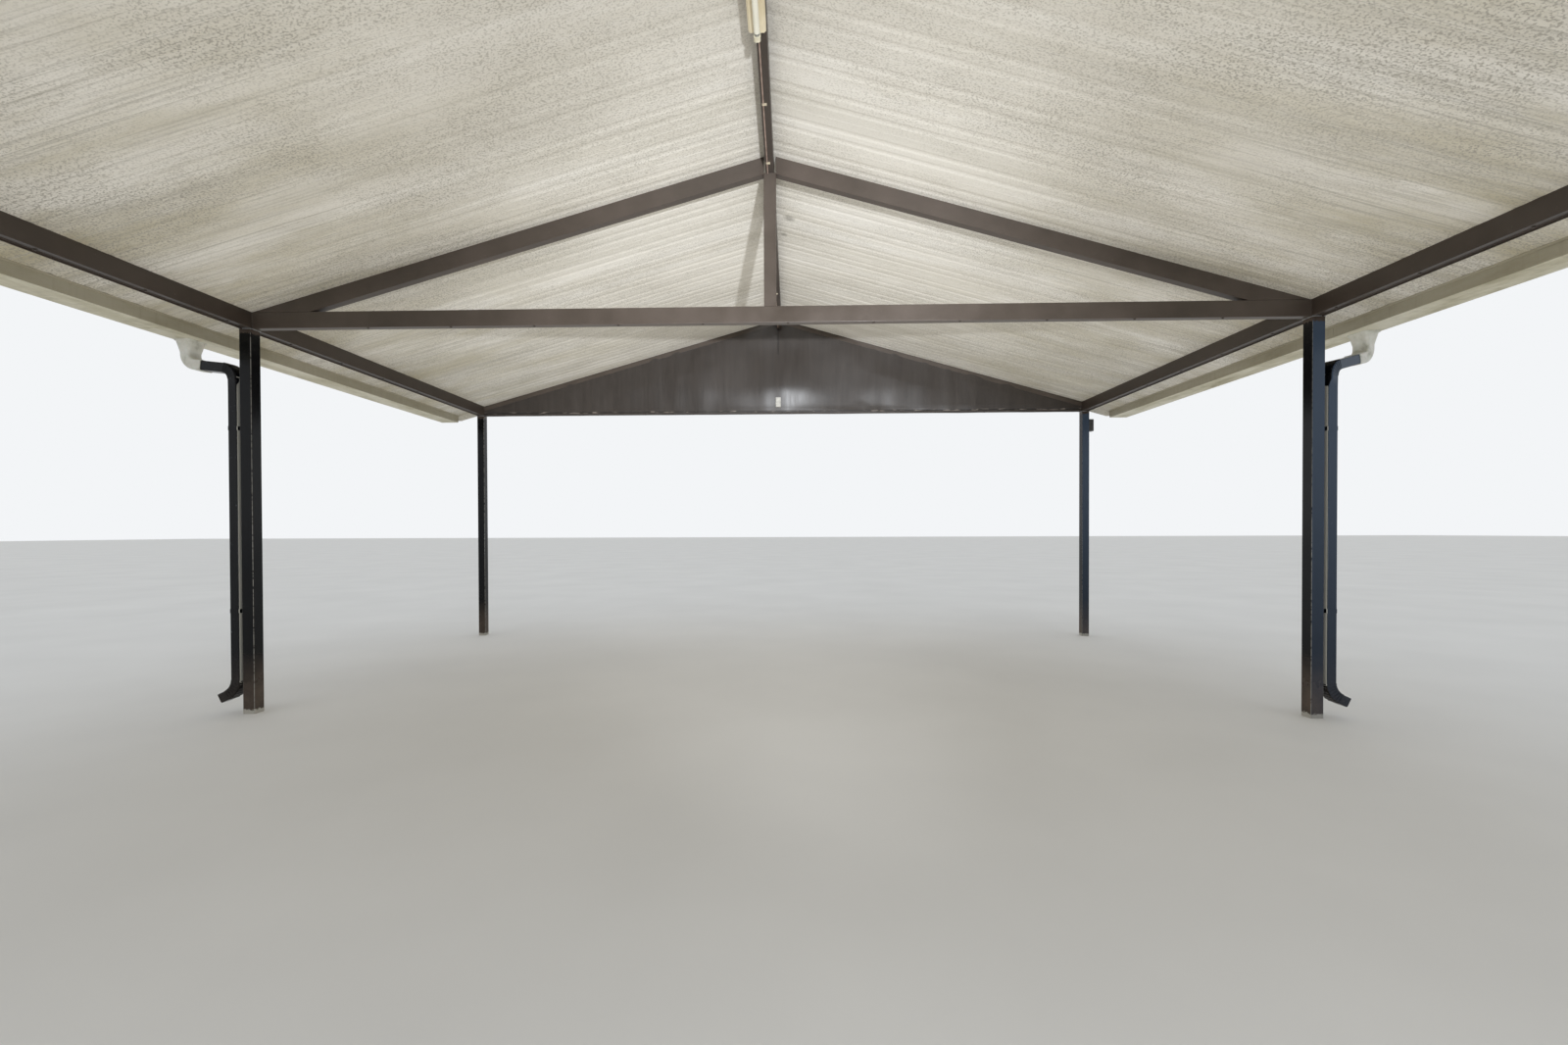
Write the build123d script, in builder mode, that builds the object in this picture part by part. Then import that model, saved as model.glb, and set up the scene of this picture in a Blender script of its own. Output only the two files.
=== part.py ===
import os
from math import atan, cos, hypot, radians, sin, tan
from build123d import *

os.makedirs("parts", exist_ok=True)

# Frame: nominal 22 by 20 ft over the posts, all sizes in mm
frame_width = 6705.6
frame_length = 6096.0
post_size = 76.2
post_height = 2438.4
post_corner = 6.0
tube_corner = 3.0

# Rectangular tubes of the trusses, the eaves and the ridge
chord_depth = 101.6
chord_width = 50.8
king_width = 76.2
ridge_width = 50.8
ridge_depth = 101.6

# Roof: pans of about 10 in on a slope of 3.4 in 12
roof_pitch = 0.2833
pan_width = 254.0
sheet = 3.0
seam_height = 40.0
seam_foot = 8.0
seam_head = 6.0
seam_gap = 1.5
seam_gap_depth = 1.5
swage_foot = 24.0
swage_head = 8.0
swage_height = 2.5
swages_per_pan = 2
ridge_gap = 5.0
cap_reach = 160.0
cap_sheet = 2.5
trim_sheet = 3.0
trim_drop = 60.0
trim_reach = 42.0

# Gutter, one below each eave, its inner leg out from the posts by the overhang
eave_overhang = 254.0
gutter_width = 188.0
gutter_leg = 69.0
gutter_height = 115.0
gutter_sheet = 3.0
gutter_lip = 14.0
gutter_flange = 16.0
sheet_into_gutter = 45.0
bead_height = 34.0
bead_out = 6.0

# Gable sheet on the inner face of each end truss
gable_sheet = 3.0
gable_hem = 26.0

# Rain water pieces, one set on each side of the middle posts
outlet_in = 118.0
outlet_back_left = 25.0
outlet_back_right = 130.0
outlet_flare = 26.0
outlet_collar = 6.0
outlet_taper = 78.0
outlet_grow = 4.0
outlet_drop = 150.0
outlet_bend = 72.0
outlet_mouth = 50.0
outlet_reach = 112.0
twist_length = 50.0
run_fall_left = 41.0
run_fall_right = 92.0
pipe_width = 60.0
pipe_depth = 80.0
pipe_corner = 8.0
pipe_wall = 2.0
pipe_standoff = 16.0
pipe_foot = 245.0
elbow_bend = 75.0
elbow_reach = 30.0
foot_bend = 110.0
foot_turn = 65.0
foot_reach = 45.0
pleat_out = 2.5
pleat_length = 7.0
pleat_count = 7
strap_height = 25.0
strap_sheet = 2.0
strap_low = 640.0
strap_drop = 265.0
strap_block = 30.0

# Lamp and wiring under the ridge
lamp_x = -15.0
lamp_shift = 278.0
lamp_length = 1220.0
lamp_width = 77.0
lamp_height = 45.0
lamp_taper = 8.0
tube_radius = 13.0
tube_drop = 24.0
holder_width = 30.0
holder_length = 24.0
holder_height = 42.0
cable_radius = 3.2
cable_x = -12.0
cable_bend = 22.0
cable_fit = 0.3
clip_width = 24.0
clip_length = 9.0
clip_pitch = 520.0
box_width = 54.0
box_height = 102.0
box_depth = 44.0
box_lift = 65.6
box_corner = 4.0
cover_edge = 3.0
cover_corner = 3.0
relay_width = 48.0
relay_depth = 66.0
relay_height = 128.0
relay_drop = 88.4

# Values that follow from the ones above
half_width = frame_width / 2
half_length = frame_length / 2
inner_x = half_width - post_size
beam_top = post_height + chord_depth
roof_at_ridge = beam_top + roof_pitch * inner_x
slope_angle = atan(roof_pitch)
chord_rise = chord_depth / cos(slope_angle)
end_truss_y = half_length - post_size / 2
gable_face = end_truss_y - chord_width / 2
ridge_under = roof_at_ridge - roof_pitch * ridge_width / 2 - ridge_depth
gutter_in = half_width + eave_overhang
gutter_out = gutter_in + gutter_width
gutter_floor = roof_at_ridge - roof_pitch * gutter_in - gutter_leg
gutter_top = gutter_floor + gutter_height
slope_length = (gutter_in + sheet_into_gutter) / cos(slope_angle)
outlet_sides = (
    ("left", -1, gutter_in + outlet_in, outlet_back_left, run_fall_left),
    ("right", 1, gutter_in + outlet_in, outlet_back_right, run_fall_right),
)
pipe_x = half_width + pipe_standoff + pipe_width / 2
lamp_mid_y = -end_truss_y / 2 - lamp_shift
lamp_end_y = lamp_mid_y + lamp_length / 2
cable_z = ridge_under - cable_radius


def roof_z(x):
    """Height of the roof's underside above the floor at distance x from the ridge."""
    return roof_at_ridge - roof_pitch * abs(x)


def finish(part, name):
    """Name a finished piece and write it to its own file."""
    part.label = name
    export_step(part, "parts/" + name + ".step")


# The six posts: square tube, standing on the floor under the eave beams
post_rows = {"front": -end_truss_y, "middle": 0.0, "rear": end_truss_y}
for row_name, row_y in post_rows.items():
    for side_name, side in (("left", -1), ("right", 1)):
        with BuildPart() as post:
            with BuildSketch(Plane.XY):
                with Locations((side * (half_width - post_size / 2), row_y)):
                    RectangleRounded(post_size, post_size, post_corner)
            extrude(amount=post_height)
        finish(post.part, row_name + "_" + side_name + "_post")

# Eave beams: continuous over the posts and flush with their inner faces
beam_out = inner_x + chord_width
with BuildPart() as right_beam:
    with BuildSketch(Plane.XZ.offset(-half_length)):
        with BuildLine():
            Polyline(
                (inner_x, post_height),
                (beam_out, post_height),
                (beam_out, roof_z(beam_out)),
                (inner_x, roof_z(inner_x)),
                close=True,
            )
        make_face()
    extrude(amount=frame_length)
    fillet(right_beam.edges().filter_by(Axis.Y).group_by(Axis.Z)[0], tube_corner)
finish(right_beam.part, "right_eave_beam")
with BuildPart() as left_beam:
    add(mirror(right_beam.part, about=Plane.YZ))
finish(left_beam.part, "left_eave_beam")

# Ridge beam: carried by the three king posts, full length of the roof
with BuildPart() as ridge_beam:
    with BuildSketch(Plane.XZ.offset(-half_length)):
        with Locations((0, ridge_under + ridge_depth / 2)):
            Rectangle(ridge_width, ridge_depth)
    extrude(amount=frame_length)
    fillet(ridge_beam.edges().filter_by(Axis.Y).group_by(Axis.Z)[0], tube_corner)
finish(ridge_beam.part, "ridge_beam")

# Trusses: a bottom chord between the beams, two top chords and a king post
low_end = (roof_at_ridge - chord_rise - beam_top) / roof_pitch
king_half = king_width / 2
for row_name, row_y in post_rows.items():
    start = Plane.XZ.offset(-row_y - chord_width / 2)
    with BuildPart() as bottom_chord:
        with BuildSketch(start):
            with Locations((0, post_height + chord_depth / 2)):
                Rectangle(2 * inner_x, chord_depth)
        extrude(amount=chord_width)
        fillet(bottom_chord.edges().filter_by(Axis.X), tube_corner)
    finish(bottom_chord.part, row_name + "_bottom_chord")

    with BuildPart() as top_chords:
        with BuildSketch(start):
            with BuildLine():
                Polyline(
                    (king_half, roof_z(king_half)),
                    (inner_x, roof_z(inner_x)),
                    (low_end, beam_top),
                    (king_half, roof_z(king_half) - chord_rise),
                    close=True,
                )
            make_face()
            mirror(about=Plane.YZ)
        extrude(amount=chord_width)
    finish(top_chords.part, row_name + "_top_chords")

    with BuildPart() as king_post:
        with BuildSketch(start):
            with Locations((0, (beam_top + ridge_under) / 2)):
                Rectangle(king_width, ridge_under - beam_top)
        extrude(amount=chord_width)
        fillet(king_post.edges().filter_by(Axis.Z), tube_corner)
        if row_name == "middle":
            # Notch in the head that lets the lamp's cable through
            with Locations((cable_x, row_y, ridge_under)):
                Box(
                    2 * (cable_radius + cable_fit),
                    chord_width + 1,
                    4 * cable_radius + 2 * cable_fit,
                    mode=Mode.SUBTRACT,
                )
    finish(king_post.part, row_name + "_king_post")

# Gable sheets: inner face of the end trusses, hemmed under the bottom chord
for row_name, facing in (("front", -1), ("rear", 1)):
    with BuildPart() as gable:
        with BuildSketch(Plane.XZ.offset(-facing * gable_face)):
            with BuildLine():
                Polyline(
                    (-inner_x, post_height - gable_sheet),
                    (inner_x, post_height - gable_sheet),
                    (inner_x, roof_z(inner_x)),
                    (ridge_width / 2, roof_z(ridge_width / 2)),
                    (ridge_width / 2, ridge_under),
                    (-ridge_width / 2, ridge_under),
                    (-ridge_width / 2, roof_z(ridge_width / 2)),
                    (-inner_x, roof_z(inner_x)),
                    close=True,
                )
            make_face()
        extrude(amount=facing * gable_sheet)
        with BuildSketch(Plane.XY.offset(post_height - gable_sheet)):
            with Locations((0, facing * (gable_face + gable_hem / 2))):
                Rectangle(2 * inner_x, gable_hem)
        extrude(amount=gable_sheet)
    finish(gable.part, row_name + "_gable_sheet")

# Roof sheets: one ribbed profile per side, drawn across the slope
slope_plane = Plane(
    origin=(0, 0, roof_at_ridge),
    x_dir=(0, 1, 0),
    z_dir=(cos(slope_angle), 0, -sin(slope_angle)),
)
pan_count = round(frame_length / pan_width)
pan_cover = frame_length / pan_count
under_side = [(-half_length, 0)]
upper_side = [(-half_length, seam_height), (-half_length + seam_head, seam_height)]
upper_side.append((-half_length + seam_foot, sheet))
for pan in range(pan_count):
    pan_start = -half_length + pan * pan_cover
    for swage in range(swages_per_pan):
        y = pan_start + (swage + 1) * pan_cover / (swages_per_pan + 1)
        for base, side in ((0, under_side), (sheet, upper_side)):
            side.append((y - swage_foot, base))
            side.append((y - swage_head, base + swage_height))
            side.append((y + swage_head, base + swage_height))
            side.append((y + swage_foot, base))
    if pan < pan_count - 1:
        y = pan_start + pan_cover
        under_side.append((y - seam_gap, 0))
        under_side.append((y - seam_gap, seam_gap_depth))
        under_side.append((y + seam_gap, seam_gap_depth))
        under_side.append((y + seam_gap, 0))
        upper_side.append((y - seam_foot, sheet))
        upper_side.append((y - seam_head, seam_height))
        upper_side.append((y + seam_head, seam_height))
        upper_side.append((y + seam_foot, sheet))
upper_side.append((half_length - seam_foot, sheet))
upper_side.append((half_length - seam_head, seam_height))
upper_side.append((half_length, seam_height))
under_side.append((half_length, 0))
with BuildPart() as right_roof:
    with BuildSketch(slope_plane.offset(ridge_gap)):
        with BuildLine():
            Polyline(*(under_side + upper_side[::-1]), close=True)
        make_face()
    extrude(amount=slope_length - ridge_gap)
finish(right_roof.part, "right_roof_sheet")
with BuildPart() as left_roof:
    add(mirror(right_roof.part, about=Plane.YZ))
finish(left_roof.part, "left_roof_sheet")

# Ridge cap: one folded sheet that lies over the seams
cap_base = roof_at_ridge + seam_height / cos(slope_angle)
cap_rise = cap_sheet / cos(slope_angle)
cap_drop = roof_pitch * cap_reach
with BuildPart() as ridge_cap:
    with BuildSketch(Plane.XZ.offset(-half_length - trim_sheet)):
        with BuildLine():
            Polyline(
                (0, cap_base),
                (cap_reach, cap_base - cap_drop),
                (cap_reach, cap_base - cap_drop + cap_rise),
                (0, cap_base + cap_rise),
                (-cap_reach, cap_base - cap_drop + cap_rise),
                (-cap_reach, cap_base - cap_drop),
                close=True,
            )
        make_face()
    extrude(amount=frame_length + 2 * trim_sheet)
finish(ridge_cap.part, "ridge_cap")

# Verge trims: an angle along each sloping edge, and a peak plate under the cap
trim_start = (cap_reach + trim_drop * sin(slope_angle) + 2) / cos(slope_angle)
trim_end = (gutter_in - gutter_flange - 2) / cos(slope_angle)
for row_name, facing in (("front", -1), ("rear", 1)):
    with BuildPart() as trims:
        with BuildSketch(slope_plane.offset(trim_start)):
            with BuildLine():
                Polyline(
                    (facing * half_length, -trim_drop),
                    (facing * (half_length + trim_sheet), -trim_drop),
                    (facing * (half_length + trim_sheet), seam_height + trim_sheet),
                    (facing * (half_length - trim_reach), seam_height + trim_sheet),
                    (facing * (half_length - trim_reach), seam_height),
                    (facing * half_length, seam_height),
                    close=True,
                )
            make_face()
        extrude(amount=trim_end - trim_start)
        mirror(about=Plane.YZ)
        with BuildSketch(Plane.XZ.offset(-facing * half_length)):
            with BuildLine():
                Polyline(
                    (0, cap_base),
                    (cap_reach, cap_base - cap_drop),
                    (cap_reach, roof_z(cap_reach) - trim_drop),
                    (0, roof_z(0) - trim_drop),
                    (-cap_reach, roof_z(cap_reach) - trim_drop),
                    (-cap_reach, cap_base - cap_drop),
                    close=True,
                )
            make_face()
        extrude(amount=-facing * trim_sheet)
    finish(trims.part, row_name + "_verge_trims")


def pipe_outline(plane, grow):
    """Rounded outline of the rectangular rain water pipe, grown by a margin."""
    with BuildSketch(plane) as outline:
        RectangleRounded(pipe_width + 2 * grow, pipe_depth + 2 * grow, pipe_corner + grow)
    return outline.sketch


def cross_plane(path, share, normal):
    """Plane square to a path at a share of its length, X in the plane of its bend."""
    return Plane(path @ share, x_dir=(path % share).cross(normal), z_dir=path % share)


def add_pleats(path, normal):
    """Raised rings at even steps round a bend."""
    for pleat in range(pleat_count):
        ring = cross_plane(path, (pleat + 0.5) / pleat_count, normal)
        extrude(pipe_outline(ring, pleat_out), amount=pleat_length / 2, both=True)


# Gutters: box section hung under the pan ends, rolled lip, outlet in the floor
for side_name, side, outlet_x, outlet_y, run_fall in outlet_sides:
    flange_edge = gutter_in - gutter_flange
    leg_out = gutter_in + gutter_sheet
    with BuildPart() as gutter:
        with BuildSketch(Plane.XZ.offset(-half_length)):
            with BuildLine():
                Polyline(
                    (side * flange_edge, roof_z(flange_edge)),
                    (side * leg_out, roof_z(leg_out)),
                    (side * leg_out, gutter_floor + gutter_sheet),
                    (side * (gutter_out - bead_out - gutter_sheet), gutter_floor + gutter_sheet),
                    (side * (gutter_out - bead_out - gutter_sheet), gutter_floor + bead_height),
                    (side * (gutter_out - gutter_sheet), gutter_floor + bead_height + bead_out),
                    (side * (gutter_out - gutter_sheet), gutter_top - gutter_sheet),
                    (side * (gutter_out - gutter_lip), gutter_top - gutter_sheet),
                    (side * (gutter_out - gutter_lip), gutter_top),
                    (side * gutter_out, gutter_top),
                    (side * gutter_out, gutter_floor + bead_height),
                    (side * (gutter_out - bead_out), gutter_floor + bead_height - bead_out),
                    (side * (gutter_out - bead_out), gutter_floor),
                    (side * gutter_in, gutter_floor),
                    (side * gutter_in, roof_z(gutter_in) - gutter_sheet),
                    (side * flange_edge, roof_z(flange_edge) - gutter_sheet),
                    close=True,
                )
            make_face()
        extrude(amount=frame_length)
        mouth = Plane((side * outlet_x, outlet_y, gutter_floor), x_dir=(side, 0, 0), z_dir=(0, 0, -1))
        extrude(pipe_outline(mouth, 0), amount=2 * gutter_sheet, both=True, mode=Mode.SUBTRACT)
    finish(gutter.part, side_name + "_gutter")

# End caps: four flat plates that close the gutters
with BuildPart() as end_caps:
    for facing in (-1, 1):
        with BuildSketch(Plane.XZ.offset(facing * half_length)):
            with Locations(((gutter_in + gutter_out) / 2, (gutter_floor + gutter_top) / 2)):
                Rectangle(gutter_out - gutter_in, gutter_top - gutter_floor)
            mirror(about=Plane.YZ)
        extrude(amount=facing * gutter_sheet)
finish(end_caps.part, "gutter_end_caps")


# Rain water pieces: each run falls from the outlet to the pipe beside the post
strap_spots = []
for side_name, side, outlet_x, outlet_y, run_fall in outlet_sides:
    run_length = hypot(outlet_x - pipe_x, outlet_y)
    run_dir = Vector(side * (pipe_x - outlet_x), -outlet_y, 0).normalized()
    run_plane = Plane(
        (side * outlet_x, outlet_y, 0), x_dir=run_dir, z_dir=run_dir.cross(Vector(0, 0, 1))
    )
    bend_normal = run_plane.z_dir
    run_head = gutter_floor - outlet_drop
    run_foot = run_head - run_fall
    joint = (outlet_reach, run_head - run_fall * outlet_reach / run_length)
    pipe_top = run_foot - elbow_bend - twist_length
    strap_spots.append((side, pipe_top - strap_drop))
    strap_spots.append((side, strap_low))

    # Outlet elbow: a funnel under the gutter that narrows and turns into the bend
    with BuildPart() as outlet:
        mouth = Plane((side * outlet_x, outlet_y, gutter_floor), x_dir=(side, 0, 0), z_dir=(0, 0, -1))
        with BuildLine(run_plane) as outlet_path:
            FilletPolyline(
                (0, gutter_floor - outlet_taper), (0, run_head), joint, radius=outlet_bend
            )
        throat = cross_plane(outlet_path.line, 0, bend_normal)
        sweep(pipe_outline(throat, outlet_grow), path=outlet_path.line)
        loft([pipe_outline(mouth, outlet_flare), pipe_outline(throat, outlet_grow)])
        extrude(pipe_outline(mouth, outlet_flare + outlet_collar), amount=outlet_collar)
        extrude(pipe_outline(mouth, 0), amount=outlet_mouth, mode=Mode.SUBTRACT)
    finish(outlet.part, side_name + "_outlet_elbow")

    # Upper elbow: pleated rectangular elbow from the outlet down into the pipe
    with BuildPart() as elbow:
        with BuildLine(run_plane) as elbow_path:
            FilletPolyline(
                joint,
                (run_length, run_foot),
                (run_length, pipe_top + twist_length),
                radius=elbow_bend,
            )
        sweep(pipe_outline(cross_plane(elbow_path.line, 0, bend_normal), 0), path=elbow_path.line)
        bend_end = cross_plane(elbow_path.line, 1, bend_normal)
        below = Plane((side * pipe_x, 0, pipe_top), x_dir=(side, 0, 0), z_dir=(0, 0, -1))
        loft([pipe_outline(bend_end, 0), pipe_outline(below, 0)])
        add_pleats(elbow_path.edges().filter_by(GeomType.CIRCLE)[0], bend_normal)
    finish(elbow.part, side_name + "_upper_elbow")

    # Downpipe: rectangular pipe strapped clear of the post's outer face
    with BuildPart() as pipe:
        extrude(pipe_outline(Plane((side * pipe_x, 0, pipe_foot)), 0), amount=pipe_top - pipe_foot)
    finish(pipe.part, side_name + "_downpipe")

    # Foot elbow: pleated elbow that throws the water outwards, open at its mouth
    with BuildPart() as foot:
        foot_turn_length = foot_bend * tan(radians(foot_turn) / 2)
        corner_z = pipe_foot - elbow_reach - foot_turn_length
        reach = foot_turn_length + foot_reach
        with BuildLine(Plane.XZ) as foot_path:
            FilletPolyline(
                (side * pipe_x, pipe_foot),
                (side * pipe_x, corner_z),
                (
                    side * (pipe_x + reach * sin(radians(foot_turn))),
                    corner_z - reach * cos(radians(foot_turn)),
                ),
                radius=foot_bend,
            )
        foot_normal = Vector(0, side, 0)
        sweep(pipe_outline(cross_plane(foot_path.line, 0, foot_normal), 0), path=foot_path.line)
        add_pleats(foot_path.edges().filter_by(GeomType.CIRCLE)[0], foot_normal)
        open_end = cross_plane(foot_path.line, 1, foot_normal)
        extrude(pipe_outline(open_end, -pipe_wall), amount=-foot_reach, mode=Mode.SUBTRACT)
    finish(foot.part, side_name + "_foot_elbow")

# Straps: a band round each pipe with a spacer block on the post
with BuildPart() as straps:
    for side, level in strap_spots:
        with BuildSketch(Plane.XY.offset(level)):
            with Locations((side * pipe_x, 0)):
                RectangleRounded(
                    pipe_width + 2 * strap_sheet, pipe_depth + 2 * strap_sheet, pipe_corner + strap_sheet
                )
            block_length = pipe_standoff - strap_sheet / 2
            with Locations((side * (half_width + block_length / 2), 0)):
                Rectangle(block_length, strap_block)
            with Locations((side * pipe_x, 0)):
                RectangleRounded(pipe_width, pipe_depth, pipe_corner, mode=Mode.SUBTRACT)
        extrude(amount=strap_height)
finish(straps.part, "downpipe_straps")

# Lamp: a tapered batten under the ridge beam with one tube in two holders
lamp_under = ridge_under - lamp_height
with BuildPart() as lamp:
    with BuildSketch(Plane.XZ.offset(-lamp_end_y)):
        with BuildLine():
            Polyline(
                (lamp_x - lamp_width / 2, ridge_under),
                (lamp_x - lamp_width / 2, lamp_under + lamp_taper),
                (lamp_x - lamp_width / 2 + lamp_taper, lamp_under),
                (lamp_x + lamp_width / 2 - lamp_taper, lamp_under),
                (lamp_x + lamp_width / 2, lamp_under + lamp_taper),
                (lamp_x + lamp_width / 2, ridge_under),
                close=True,
            )
        make_face()
    extrude(amount=lamp_length)
finish(lamp.part, "lamp_batten")

with BuildPart() as holders:
    for end in (-1, 1):
        holder_y = lamp_mid_y + end * (lamp_length - holder_length) / 2
        with Locations((lamp_x, holder_y, lamp_under - holder_height / 2)):
            Box(holder_width, holder_length, holder_height)
    fillet(holders.edges().filter_by(Axis.Y).group_by(Axis.Z)[0], holder_width / 3)
finish(holders.part, "lamp_holders")

with BuildPart() as lamp_tube:
    with BuildSketch(Plane.XZ.offset(-lamp_end_y + holder_length)):
        with Locations((lamp_x, lamp_under - tube_drop)):
            Circle(tube_radius)
    extrude(amount=lamp_length - 2 * holder_length)
finish(lamp_tube.part, "lamp_tube")

# Cable: from the lamp along the ridge beam, then down the rear gable sheet
cable_face_y = gable_face - gable_sheet - cable_radius
box_bottom = post_height + box_lift
box_top = box_bottom + box_height
with BuildPart() as cable:
    with BuildLine(Plane.YZ.offset(cable_x)) as cable_path:
        FilletPolyline(
            (lamp_end_y, cable_z),
            (cable_face_y, cable_z),
            (cable_face_y, box_top),
            radius=cable_bend,
        )
    with BuildSketch(Plane((cable_x, lamp_end_y, cable_z), z_dir=(0, 1, 0))):
        Circle(cable_radius)
    sweep(path=cable_path.line)
finish(cable.part, "lamp_cable")

# Clips: small saddles that hold the cable to the ridge beam
with BuildPart() as clips:
    clip_y = lamp_end_y + clip_pitch
    while clip_y < cable_face_y - clip_pitch / 2:
        if abs(clip_y) > chord_width:
            with Locations((cable_x + clip_width / 4, clip_y, ridge_under - cable_radius - 1)):
                Box(clip_width, clip_length, 2 * (cable_radius + 1))
            with Locations((cable_x, clip_y, cable_z)):
                Cylinder(
                    cable_radius + cable_fit, 2 * clip_length, rotation=(90, 0, 0), mode=Mode.SUBTRACT
                )
        clip_y += clip_pitch
finish(clips.part, "cable_clips")

# Switch box on the rear gable sheet, with a slightly smaller cover
with BuildPart() as switch_box:
    box_y = gable_face - gable_sheet
    with Locations((cable_x, box_y - box_depth / 2, box_bottom + box_height / 2)):
        Box(box_width, box_depth, box_height)
    fillet(switch_box.edges().filter_by(Axis.Y), box_corner)
    cover = Plane(
        (cable_x, box_y - box_depth, box_bottom + box_height / 2), x_dir=(1, 0, 0), z_dir=(0, -1, 0)
    )
    with BuildSketch(cover):
        RectangleRounded(box_width - 2 * cover_edge, box_height - 2 * cover_edge, cover_corner)
    extrude(amount=cover_edge)
finish(switch_box.part, "switch_box")

# Relay box on the outer face of the right rear post
with BuildPart() as relay:
    relay_top = post_height - relay_drop
    with Locations((half_width + relay_width / 2, end_truss_y, relay_top - relay_height / 2)):
        Box(relay_width, relay_depth, relay_height)
    fillet(relay.edges().filter_by(Axis.X), box_corner)
finish(relay.part, "relay_box")
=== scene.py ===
from math import atan, cos, exp, pi, radians, sin

import bmesh
import bpy
from mathutils import Matrix, Vector, noise


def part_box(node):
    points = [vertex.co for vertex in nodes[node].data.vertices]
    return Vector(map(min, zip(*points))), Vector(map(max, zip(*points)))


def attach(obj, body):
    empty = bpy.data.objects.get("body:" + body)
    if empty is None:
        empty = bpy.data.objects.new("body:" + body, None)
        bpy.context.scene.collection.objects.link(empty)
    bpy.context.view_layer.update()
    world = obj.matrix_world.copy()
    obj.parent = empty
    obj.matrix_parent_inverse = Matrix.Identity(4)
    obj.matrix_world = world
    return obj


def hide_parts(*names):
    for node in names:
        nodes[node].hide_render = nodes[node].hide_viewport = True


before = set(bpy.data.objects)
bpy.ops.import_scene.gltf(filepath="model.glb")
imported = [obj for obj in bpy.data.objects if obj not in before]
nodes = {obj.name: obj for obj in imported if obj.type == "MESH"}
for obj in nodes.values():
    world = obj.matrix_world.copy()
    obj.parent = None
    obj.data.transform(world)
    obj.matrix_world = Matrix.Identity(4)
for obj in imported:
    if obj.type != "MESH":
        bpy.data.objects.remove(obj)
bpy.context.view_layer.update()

scene = bpy.context.scene
scene.view_settings.view_transform = "Standard"

# Camera: a wide lens at chest height in front of the open end, as the
# photograph was taken, turned by about a degree and a half to the left.
camera_place = (0.127, -3.928, 1.147)
camera_yaw, camera_pitch, camera_roll = 0.0255, -0.0095, 0.0032
camera_data = bpy.data.cameras.new("camera")
camera_data.lens = 14.443
camera_data.sensor_width = 36.0
camera_data.shift_x = 0.0055
camera_data.shift_y = 0.0094
camera_data.clip_end = 500.0
camera = bpy.data.objects.new("camera", camera_data)
scene.collection.objects.link(camera)
camera.matrix_world = (
    Matrix.Translation(camera_place)
    @ Matrix.Rotation(camera_yaw, 4, "Z")
    @ Matrix.Rotation(camera_pitch, 4, "X")
    @ Matrix.Rotation(camera_roll, 4, "Y")
    @ Matrix.Rotation(pi / 2, 4, "X")
)
scene.camera = camera


# Studio floor: one large floor in matt pale grey paint, faintly cloudy and seen
# up to the horizon. It throws some light back up to the roof's underside.
def linear(code):
    """Turn an sRGB hex colour to the linear values that a shader takes."""
    values = [int(code[i : i + 2], 16) / 255 for i in (1, 3, 5)]
    return [v / 12.92 if v <= 0.04045 else ((v + 0.055) / 1.055) ** 2.4 for v in values] + [1.0]


def add_node(tree, kind, settings=None, links=None):
    """Add one shader node with its settings, input values and links.

    A link is given as an output, or as a node in place of its first output.
    """
    node = tree.nodes.new("ShaderNode" + kind)
    for name, value in (settings or {}).items():
        if name == "stops":
            ramp = node.color_ramp.elements
            while len(ramp) < len(value):
                ramp.new(0.5)
            for stop, (spot, colour) in zip(ramp, value):
                stop.position = spot
                stop.color = linear(colour)
        elif isinstance(name, str) and hasattr(node, name):
            setattr(node, name, value)
        elif isinstance(value, str) and value.startswith("#"):
            node.inputs[name].default_value = linear(value)
        else:
            node.inputs[name].default_value = value
    for name, source in (links or {}).items():
        if isinstance(source, bpy.types.Node):
            source = source.outputs[0]
        tree.links.new(source, node.inputs[name])
    return node


def start_material(name):
    """Make a material with an empty node tree."""
    material = bpy.data.materials.new(name)
    material.use_nodes = True
    material.node_tree.nodes.clear()
    return material, material.node_tree


floor_size = 240.0
bpy.ops.mesh.primitive_plane_add(size=floor_size, location=(0, 0, 0))
floor = bpy.context.object
floor.name = "studio_floor"
matt_floor, tree = start_material("matt_studio_floor_paint")
floor_coords = add_node(tree, "TexCoord").outputs["Object"]
floor_clouds = add_node(tree, "TexNoise", {"Scale": 0.8, "Detail": 3.0}, {"Vector": floor_coords})
floor_tone = add_node(tree, "ValToRGB", {"stops": [(0.3, "#DDDBD7"), (0.7, "#E3E1DD")]}, {0: floor_clouds})
floor_shader = add_node(
    tree, "BsdfPrincipled", {"Roughness": 0.85, "Specular IOR Level": 0.2}, {"Base Color": floor_tone}
)
add_node(tree, "OutputMaterial", {}, {"Surface": floor_shader})
floor.data.materials.append(matt_floor)

# Light: a pale surround, a sheet of soft light from the floor below each bay,
# and small lamps low in front on the right, in one place, that cast shadows.
world = bpy.data.worlds.new("pale_surround")
world.use_nodes = True
tree = world.node_tree
tree.nodes.clear()
path_kind = add_node(tree, "LightPath")
seen_or_mirrored = add_node(
    tree,
    "Math",
    {"operation": "MAXIMUM"},
    {0: path_kind.outputs["Is Camera Ray"], 1: path_kind.outputs["Is Glossy Ray"]},
)
seen_at_all = add_node(
    tree,
    "Math",
    {"operation": "MAXIMUM"},
    {0: seen_or_mirrored, 1: path_kind.outputs["Is Transmission Ray"]},
)
surround_light = add_node(tree, "Background", {"Color": "#EEF2F6", "Strength": 0.85})
surround_seen = add_node(tree, "Background", {"Color": "#F3F5F7", "Strength": 1.0})
surround = add_node(tree, "MixShader", {}, {0: seen_at_all, 1: surround_light, 2: surround_seen})
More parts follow.
